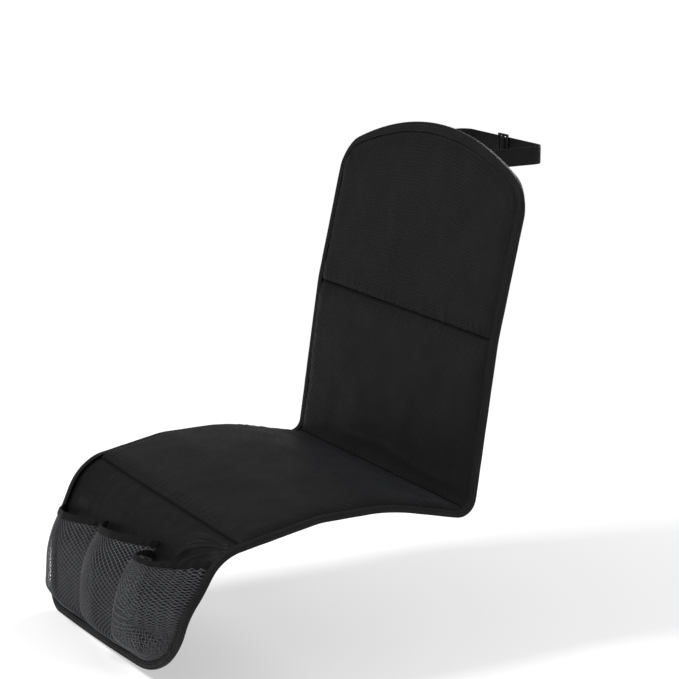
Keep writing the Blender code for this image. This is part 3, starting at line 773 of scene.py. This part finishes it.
def rounded_strip(width, thickness, sides=24):
    """A flattened ring: a circle with its sine and cosine drawn out to low powers, as (along, off the face)."""
    turns = np.linspace(0, 2 * math.pi, sides + 1)[:-1]
    cosine, sine = np.cos(turns), np.sin(turns)
    wide = np.sign(cosine) * np.abs(cosine) ** 0.35 * width / 2
    thick = np.sign(sine) * np.abs(sine) ** 0.5 * thickness / 2
    return wide, thick


def mouth_band(side):
    """The strip's middle line follows the mouth, and each ring stands on the net's height there."""
    pocket = POCKETS[side]
    x = np.linspace(*pocket_ends(pocket), 90)[:, None]
    wide, thick = rounded_strip(BAND_HEIGHT, BAND_THICKNESS)
    on_face = np.abs(thick) > 0.9 * thick.max()
    rib = RIB_HEIGHT * np.cos(2 * math.pi * wide / RIB_PITCH) * on_face
    edge = mouth(pocket, x)
    n = pocket_height(side, x, edge) + BAND_THICKNESS / 2 + thick + np.sign(thick) * rib
    n = n + BAND_GATHER * noise(x, 0 * x, 0.012, 31)
    s = edge + BAND_HEIGHT / 2 + wide[None, :]
    flat = np.stack([np.broadcast_to(x, s.shape), s], axis=-1)
    swept_shell(f"mouth_band_{side}", lay(x, s, n), flat, ELASTIC, (f"pocket_band_{side}",))


for side in POCKETS:
    mouth_band(side)
print("mouth bands:", len(POCKETS))

# %% [markdown]
# ## Binding tape
# A ribbed tape is folded over every raw edge and sewn through with two rows of stitches. Its section is a
# channel: up one face, round the edge and down the other. The route is known on the flat mat, with the
# direction inwards at each point, so a section point lies that far inwards and that high. The stitches
# press two shallow grooves into it.

# %% Edge route
ROUTE_STEP = 0.004


def edge_side(side, seam, end, radius):
    """One side's route from a seam to the end's middle run, as rows of x, s, inward x and inward s."""
    towards = 1 if end > seam else -1
    corner = end - towards * radius
    run = np.linspace(seam, corner, max(2, round(abs(corner - seam) / ROUTE_STEP)))
    edge = np.full_like(run, side * HALF_WIDTH)
    straight = np.stack([edge, run, np.full_like(run, -side), 0 * run], axis=1)
    turn = np.linspace(0, math.pi / 2, 1 + max(8, round(radius * 1.6 / ROUTE_STEP)))[1:]
    across, along = side * np.cos(turn), towards * np.sin(turn)
    x = side * (HALF_WIDTH - radius) + radius * across
    return np.concatenate([straight, np.stack([x, corner + radius * along, -across, -along], axis=1)])


def edge_route(seam, end):
    """The whole route: left side, end and right side."""
    radii = next(radii for corner_end, _, *radii in CORNERS if corner_end == end)
    left, right = [edge_side(side, seam, end, radius) for side, radius in zip((-1, 1), radii)]
    between = np.linspace(left[-1, 0], right[-1, 0], 92)[1:-1]
    middle = np.tile(left[-1], (len(between), 1))
    middle[:, 0] = between
    return np.concatenate([left, middle, right[::-1]])


# %% Tape
TAPE_LOW = -0.0010
TAPE_HIGH = 0.0064
TAPE_FOLD = 0.0011  # how far the fold reaches in from the edge
TAPE_INNER = 0.0022  # where the folded tape's inside starts, and its thickness at the fold
STITCH_INSETS = (0.0030, 0.0084)
GROOVE_WIDTH, GROOVE_DEPTH = 0.0007, 0.0005
TAPE_CROWN = 0.0004
RIPPLE_PITCH, RIPPLE_HEIGHT = 0.0043, 0.00022


def tape_section():
    """The folded tape as (inwards, height): upper face, round edge, lower face, and back along the inside."""
    upper = np.linspace(TAPE_WIDTH, TAPE_FOLD, 14)
    groove = sum(bell(upper, inset, GROOVE_WIDTH) for inset in STITCH_INSETS) * GROOVE_DEPTH
    crown = TAPE_CROWN * np.sin(math.pi * (upper - TAPE_FOLD) / (TAPE_WIDTH - TAPE_FOLD))
    middle, half = (TAPE_HIGH + TAPE_LOW) / 2, (TAPE_HIGH - TAPE_LOW) / 2
    turns = np.linspace(0, math.pi, 11)[1:-1]
    top = np.stack([upper, TAPE_HIGH - groove + crown], axis=1)
    fold = np.stack([TAPE_FOLD * (1 - np.sin(turns)), middle + half * np.cos(turns)], axis=1)
    bottom = np.stack([upper[::-1], TAPE_LOW + groove[::-1] - crown[::-1]], axis=1)
    inside = [
        (TAPE_WIDTH, TAPE_LOW + 0.0008),
        (TAPE_INNER, TAPE_LOW + 0.0009),
        (TAPE_INNER, TAPE_HIGH - 0.0009),
        (TAPE_WIDTH, TAPE_HIGH - 0.0008),
    ]
    return np.concatenate([top, fold, bottom, inside])


def edge_tape(name, node, seam, end):
    """The section carried along the route, with a slight wander of its inner edge and ripples by the stitches."""
    route = edge_route(seam, end)
    inwards, height = tape_section().T[:, None, :]
    walked = walked_along(route[:, :2])
    wander = 0.0004 * noise(walked, 0 * walked, 0.02, 41)[:, None]
    ripple = walked / RIPPLE_PITCH + 3 * noise(walked, 0 * walked, 0.03, 42) / (2 * math.pi)
    ripple = RIPPLE_HEIGHT * wave(ripple)[:, None] * np.sign(height - (TAPE_HIGH + TAPE_LOW) / 2)
    n = height + ripple * bell(inwards, TAPE_WIDTH * 0.6, 0.006)
    inset = inwards + wander * (inwards > 0.5 * TAPE_WIDTH)
    x, s = [route[:, None, i] + route[:, None, i + 2] * inset for i in (0, 1)]
    flat = np.stack(np.broadcast_arrays(walked[:, None], walked_along(tape_section())[None, :]), axis=-1)
    swept_shell(name, drape(x, s, n), flat, TAPE_CLOTH, (node,))
    return route


mat_route = edge_tape("binding_mat", "edge_tape_mat", FRONT_SEAM, TOP_END)
flap_route = edge_tape("binding_flap", "edge_tape_flap", FRONT_SEAM, FLAP_END)
print("binding points:", len(mat_route), len(flap_route))

# %% [markdown]
# ## Stitching
# A lockstitch shows as a row of short thread ends, each diving into the cloth at both its holes. One stitch
# is a few rings round a bent line, fat in its middle and buried at its ends. All stitches of a row are
# computed together: their places along the row, their direction, and the cloth's own normal there.

# %% Stitch maker
STITCH_PITCH = 0.0042
STITCH_LENGTH = 0.0031
THREAD_RADIUS = 0.00042
LOWER_FACE = 0.002  # a row lower than this lies on the underside


def unit(vectors):
    """Vectors of length one along the last axis."""
    return vectors / np.linalg.norm(vectors, axis=-1, keepdims=True)


def stitch_row(x, s, height, *seams):
    """Rings of every stitch along a flat line: stitches, rings, sides, 3. height is a function of x and s."""
    walked = walked_along(np.stack([x, s], axis=1))
    starts = np.arange(0.0, walked[-1] - STITCH_LENGTH, STITCH_PITCH)
    share = np.linspace(0, 1, 5)
    at = starts[:, None] + share[None, :] * STITCH_LENGTH
    px, ps = np.interp(at, walked, x), np.interp(at, walked, s)
    face = height(px, ps, *seams)
    sign = 1.0 if face[0, 0] > LOWER_FACE else -1.0
    arch = np.sin(math.pi * share)[None, :]
    centre = drape(px, ps, face + sign * THREAD_RADIUS * (1.1 * arch - 0.7))
    up = unit(drape(px, ps, face + sign * 0.001) - drape(px, ps, face))
    side = unit(np.cross(np.gradient(centre, axis=1), up))
    radius = THREAD_RADIUS * (0.35 + 0.65 * arch)[..., None, None]
    turns = np.linspace(0, 2 * math.pi, 7)[:-1, None]
    ring = side[:, :, None, :] * np.cos(turns) + up[:, :, None, :] * np.sin(turns)
    return centre[:, :, None, :] + radius * ring


def stitching(name, rows):
    """One mesh of all the given rows' stitches, each a closed short tube."""
    rings = np.concatenate(rows)
    count, along, sides, _ = rings.shape
    base = np.arange(count)[:, None, None] * along * sides
    around = np.arange(sides)[None, :]
    quads = np.roll(ring_quads(along, sides)[:, ::-1], 1, axis=1)
    walls = (base + quads).reshape(-1, 4).tolist()
    start, stop = base[:, 0] + around, base[:, 0] + (along - 1) * sides + around[:, ::-1]
    points = rings.reshape(-1, 3)
    make_piece(name, points, walls + start.tolist() + stop.tolist(), points[:, :2], THREAD)


# %% Rows of stitches
SEAM_INSET = 0.0035
SEAM_ENDS = 0.002
THREAD_SINK = 0.0001
DIVIDER_LIFT = 0.0012


def along_route(route, inset):
    """A flat line that far inside the edge."""
    return route[:, 0] + route[:, 2] * inset, route[:, 1] + route[:, 3] * inset


def tape_top(x, s):
    """The tape's upper face."""
    return np.full_like(x, TAPE_HIGH - THREAD_SINK)


def tape_bottom(x, s):
    """The tape's lower face."""
    return np.full_like(x, TAPE_LOW + THREAD_SINK)


def divider_top(x, s):
    """The face of the doubled net along a divider."""
    return flap_height(x, s) + DIVIDER_LIFT


tape_rows = [
    stitch_row(*along_route(route, inset), face)
    for route in (mat_route, flap_route)
    for inset in STITCH_INSETS
    for face in (tape_top, tape_bottom)
]
stitching("binding_stitches", tape_rows)

seam_reach = HALF_WIDTH - TAPE_WIDTH - SEAM_ENDS
seam_line = np.linspace(-seam_reach, seam_reach, 200)
SEAM_ROWS = (  # the row's place, and the two seams of its panel
    (FRONT_SEAM + SEAM_INSET, FRONT_SEAM, CREASE_SEAM),
    (CREASE_SEAM - SEAM_INSET, FRONT_SEAM, CREASE_SEAM),
    (CREASE_SEAM + SEAM_INSET, CREASE_SEAM, BACK_SEAM),
    (BACK_SEAM - SEAM_INSET, CREASE_SEAM, BACK_SEAM),
    (BACK_SEAM + SEAM_INSET, BACK_SEAM, TOP_END - TAPE_WIDTH),
)
seam_rows = [stitch_row(seam_line, np.full_like(seam_line, at), panel_top, *seams) for at, *seams in SEAM_ROWS]
stitching("seam_stitches", seam_rows)

divider_rows = []
for divider, side in zip(DIVIDERS, ("left", "middle")):
    line = np.linspace(POCKET_LOW, FRONT_SEAM - POCKETS[side]["drops"][1] + BAND_HEIGHT, 60)
    divider_rows.append(stitch_row(np.full_like(line, divider), line, divider_top))
stitching("divider_stitches", divider_rows)
print("stitches:", sum(len(rows) for rows in tape_rows + seam_rows + divider_rows))

# %% [markdown]
# ## The strap and its slide
# Webbing is sewn flat behind the upper panel at both ends and stands on its edge round the rest of its
# loop. Half the loop is worked out as a path seen from above, and the other half is its mirror image. Near
# the sewn end the webbing's upward direction turns from the panel's slope to upright. Its section is a thin
# strip with rounded edges.

# %% Strap path
STRAP_WIDTH = 0.025
STRAP_THICKNESS = 0.0015
STRAP_HALF_SPAN = 0.098
STRAP_REACH = 0.112
STRAP_SEWN = 0.040
SMALL_BEND, LARGE_BEND = 0.010, 0.016
SLIDE_THICKNESS = 0.003
SLIDE_BAR = 0.0040
SLIDE_SLOT = 0.0066


def strap_half():
    """x and rearward distance from the sewn end to the middle: straight, small bend, straight, large bend.

    Behind the slide's bar the webbing dips towards the panel by a smooth step on both sides.
    """
    turn = np.linspace(0, math.pi / 2, 14)
    sewn = STRAP_HALF_SPAN - SMALL_BEND
    start = np.linspace(sewn - STRAP_SEWN, sewn, 16)[:-1]
    bend = np.stack([sewn + SMALL_BEND * np.sin(turn), SMALL_BEND - SMALL_BEND * np.cos(turn)], axis=1)
    run = np.linspace(SMALL_BEND, STRAP_REACH - LARGE_BEND, 24)[1:-1]
    side, rear = STRAP_HALF_SPAN - LARGE_BEND, STRAP_REACH - LARGE_BEND
    corner = np.stack([side + LARGE_BEND * np.cos(turn), rear + LARGE_BEND * np.sin(turn)], axis=1)
    x = np.linspace(side, 0.0, 60)[1:]
    dip = SLIDE_THICKNESS + STRAP_THICKNESS + 0.0012
    fall = np.clip((SLIDE_BAR / 2 + SLIDE_SLOT - x) / SLIDE_SLOT, 0, 1)
    back = np.stack([x, STRAP_REACH - dip * fall * fall * (3 - 2 * fall)], axis=1)
    first = np.stack([start, 0 * start], axis=1)
    out = np.stack([np.full_like(run, STRAP_HALF_SPAN), run], axis=1)
    return np.concatenate([first, bend, out, corner, back])


def strap_origin():
    """The point where the strap lies behind the panel, and the panel's upward direction there."""
    edge = TOP_END + TOP_ARCH * (1 - (STRAP_HALF_SPAN / HALF_WIDTH) ** 2)
    slope, y, z = on_curve(edge - TAPE_WIDTH - 0.0035 - STRAP_WIDTH / 2)
    off = STRAP_THICKNESS / 2 + 0.0003
    point = np.array([0.0, y + off * np.sin(slope), z - off * np.cos(slope)])
    return point, np.array([0.0, np.cos(slope), np.sin(slope)])


def strap_frames(route):
    """Centre, side and up of the webbing along its route."""
    origin, panel_up = strap_origin()
    ahead = unit(np.gradient(route, axis=0))
    upright = np.clip(route[:, 1] / 0.030, 0, 1)[:, None]
    up = unit(panel_up * (1 - upright) + np.array([0.0, 0.0, 1.0]) * upright)
    side = np.column_stack([ahead[:, 1], -ahead[:, 0], ahead[:, 0] * up[:, 1]])
    return origin + np.column_stack([route, np.zeros(len(route))]), side, up


def strap_loop():
    """The strip's rounded section at every point of the route, facing the route's side."""
    half = strap_half()
    route = np.concatenate([half, half[-2::-1] * [-1, 1]])
    centre, side, up = [vectors[:, None, :] for vectors in strap_frames(route)]
    wide, thick = [part[::-1] for part in rounded_strip(STRAP_WIDTH, STRAP_THICKNESS, 28)]
    rings = centre + up * wide[:, None] + side * thick[:, None]
    walked = walked_along(route)
    flat = np.stack(np.broadcast_arrays(walked[:, None], wide[None, :]), axis=-1)
    swept_shell("strap_webbing", rings, flat, WEBBING, ("headrest_strap",))
    print("strap length", round(float(walked[-1]), 3), "m")


strap_loop()

# %% [markdown]
# ## The slide
# The slide is a flat moulded buckle with two slots. Its outline and its slots are one grid of blocks with
# two blocks left out, and a Bevel modifier rounds every edge as the mould does.

# %% Strap slide
SLIDE_RIM, SLIDE_PLAY = 0.0032, 0.0010
SLIDE_ROUNDING = 0.0008


def slide_number(i, j, k):
    """The number of the slide's point in column i and row j, in front (0) or at the back (1)."""
    return k * 24 + j * 6 + i


def strap_slide():
    """A grid of five columns and three rows, whose second and fourth columns are open in the middle row."""
    origin, _ = strap_origin()
    height = STRAP_WIDTH + 2 * SLIDE_PLAY
    width = SLIDE_BAR + 2 * SLIDE_SLOT + 2 * SLIDE_RIM
    right = np.array([SLIDE_BAR / 2, width / 2 - SLIDE_RIM, width / 2])
    xs = np.concatenate([-right[::-1], right])
    zs = np.array([-height / 2 - SLIDE_RIM, -height / 2, height / 2, height / 2 + SLIDE_RIM])
    middle = STRAP_REACH - STRAP_THICKNESS / 2 - 0.0006 - SLIDE_THICKNESS / 2
    ys = middle + np.array([-0.5, 0.5]) * SLIDE_THICKNESS
    points = np.array([(x, y, z) for y in ys for z in zs for x in xs]) + origin
    solid = {(i, j) for i in range(5) for j in range(3)} - {(1, 1), (3, 1)}
    faces = []
    for i, j in sorted(solid):
        block = ((i, j), (i + 1, j), (i + 1, j + 1), (i, j + 1))
        faces.append([slide_number(*corner, 0) for corner in block])
        faces.append([slide_number(*corner, 1) for corner in block[::-1]])
        beyond = ((i - 1, j), (i + 1, j), (i, j - 1), (i, j + 1))
        for cell, a, b in zip(beyond, (3, 1, 0, 2), (0, 2, 1, 3)):
            if cell not in solid:
                pairs = ((block[a], 0), (block[a], 1), (block[b], 1), (block[b], 0))
                faces.append([slide_number(*corner, k) for corner, k in pairs])
    flat = points[:, [0, 2]]
    piece = make_piece("slide_moulded", points, faces, flat, ACETAL, ("strap_slide",))
    bevel = piece.modifiers.new("round edges", "BEVEL")
    bevel.width = SLIDE_ROUNDING
    bevel.segments = 3


strap_slide()
print("pieces:", len(PIECES))

# %% [markdown]
# ## Floor, light and camera
# A plain pale floor and an even white surround show a black object best. The lamps are large and soft, so
# that the cloth's sheen and the folds read as wide, gentle highlights. The camera stands to the right, a
# little above, and far off, as in the photograph.

# %% Surround
WHITE = linear("#ffffff")
SURROUND = 0.25  # the surround's strength as a light, against 1 as the camera sees it
world = bpy.data.worlds.new("studio")
world.use_nodes = True
bpy.context.scene.world = world
world_light = world.node_tree.nodes["Background"]
world_light.inputs["Color"].default_value = WHITE
world_rays = add(world.node_tree, "ShaderNodeLightPath")
world_share = math_node(world.node_tree, "MULTIPLY", world_rays.outputs["Is Camera Ray"], 1 - SURROUND)
world_strength = math_node(world.node_tree, "ADD", world_share, SURROUND)
world.node_tree.links.new(world_strength, world_light.inputs["Strength"])

# %% Floor, which turns into plain white away from the object
FLOOR_HALF, FLOOR_GAP = 9, 0.001
FLOOR_GLOW = 0.30
FADE_FROM, FADE_TO = 0.75, 1.6
floor_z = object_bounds()[0].z - FLOOR_GAP
floor_mesh = bpy.data.meshes.new("floor")
floor_corners = [(FLOOR_HALF * x, FLOOR_HALF * y, floor_z) for x, y in ((-1, -1), (1, -1), (1, 1), (-1, 1))]
floor_mesh.from_pydata(floor_corners, [], [(0, 1, 2, 3)])
floor = bpy.data.objects.new("floor", floor_mesh)
bpy.context.scene.collection.objects.link(floor)
pale, pale_tree, pale_shader = new_material("matt_white_floor")
pale_shader.inputs["Base Color"].default_value = linear("#efefef")
pale_shader.inputs["Roughness"].default_value = 0.9
pale_shader.inputs["Specular IOR Level"].default_value = 0.0
seen = add(pale_tree, "ShaderNodeLightPath").outputs["Is Camera Ray"]
lift = math_node(pale_tree, "MULTIPLY", seen, FLOOR_GLOW)
glow = add(pale_tree, "ShaderNodeEmission", [("Color", WHITE), ("Strength", lift)])
near = add(pale_tree, "ShaderNodeAddShader", [(0, pale_shader.outputs[0]), (1, glow.outputs[0])])
spot = add(pale_tree, "ShaderNodeTexCoord").outputs["Object"]
away = add(pale_tree, "ShaderNodeVectorMath", [(0, spot)], operation="LENGTH").outputs["Value"]
ramp = [(0, away), (1, FADE_FROM), (2, FADE_TO)]
fade = add(pale_tree, "ShaderNodeMapRange", ramp, interpolation_type="SMOOTHSTEP").outputs[0]
white = add(pale_tree, "ShaderNodeEmission", [("Color", WHITE), ("Strength", 1.0)])
outer = math_node(pale_tree, "MULTIPLY", fade, seen)
blended = add(pale_tree, "ShaderNodeMixShader", [(0, outer), (1, near.outputs[0]), (2, white.outputs[0])])
pale_tree.links.new(blended.outputs[0], pale_tree.nodes["Material Output"].inputs["Surface"])
floor_mesh.materials.append(pale)
print("floor at", round(floor_z, 4), "m")


# %% Lamps
def soft_lamp(name, place, aim, size, watts):
    """A square area lamp that looks from its place to its aim."""
    lamp = bpy.data.lights.new(name, "AREA")
    lamp.shape = "SQUARE"
    lamp.size = size
    lamp.energy = watts
    holder = bpy.data.objects.new(name, lamp)
    holder.location = place
    holder.rotation_euler = (Vector(aim) - Vector(place)).to_track_quat("-Z", "Y").to_euler()
    bpy.context.scene.collection.objects.link(holder)


soft_lamp("key", (-0.5, -1.9, 2.2), (0.0, 0.0, 0.0), 0.9, 62.0)
soft_lamp("right_side", (2.6, 0.5, 0.9), (0.0, 0.1, 0.1), 0.9, 36.0)
soft_lamp("rear", (-1.2, 2.4, 1.3), (0.0, 0.1, 0.2), 1.2, 36.0)

# %% Camera
CAMERA_PLACE = Vector((2.7437, -1.4384, 0.9224))
CAMERA_AIM = Vector((-0.0645, 0.1706, 0.1561))
camera_data = bpy.data.cameras.new("camera")
camera_data.lens = 125.7
camera_data.sensor_width = 36.0
camera = bpy.data.objects.new("camera", camera_data)
camera.location = CAMERA_PLACE
camera.rotation_euler = (CAMERA_AIM - CAMERA_PLACE).to_track_quat("-Z", "Y").to_euler()
bpy.context.scene.collection.objects.link(camera)
bpy.context.scene.camera = camera
bpy.context.scene.view_settings.view_transform = "Standard"
print("the camera stands", round((CAMERA_AIM - CAMERA_PLACE).length, 2), "m away")
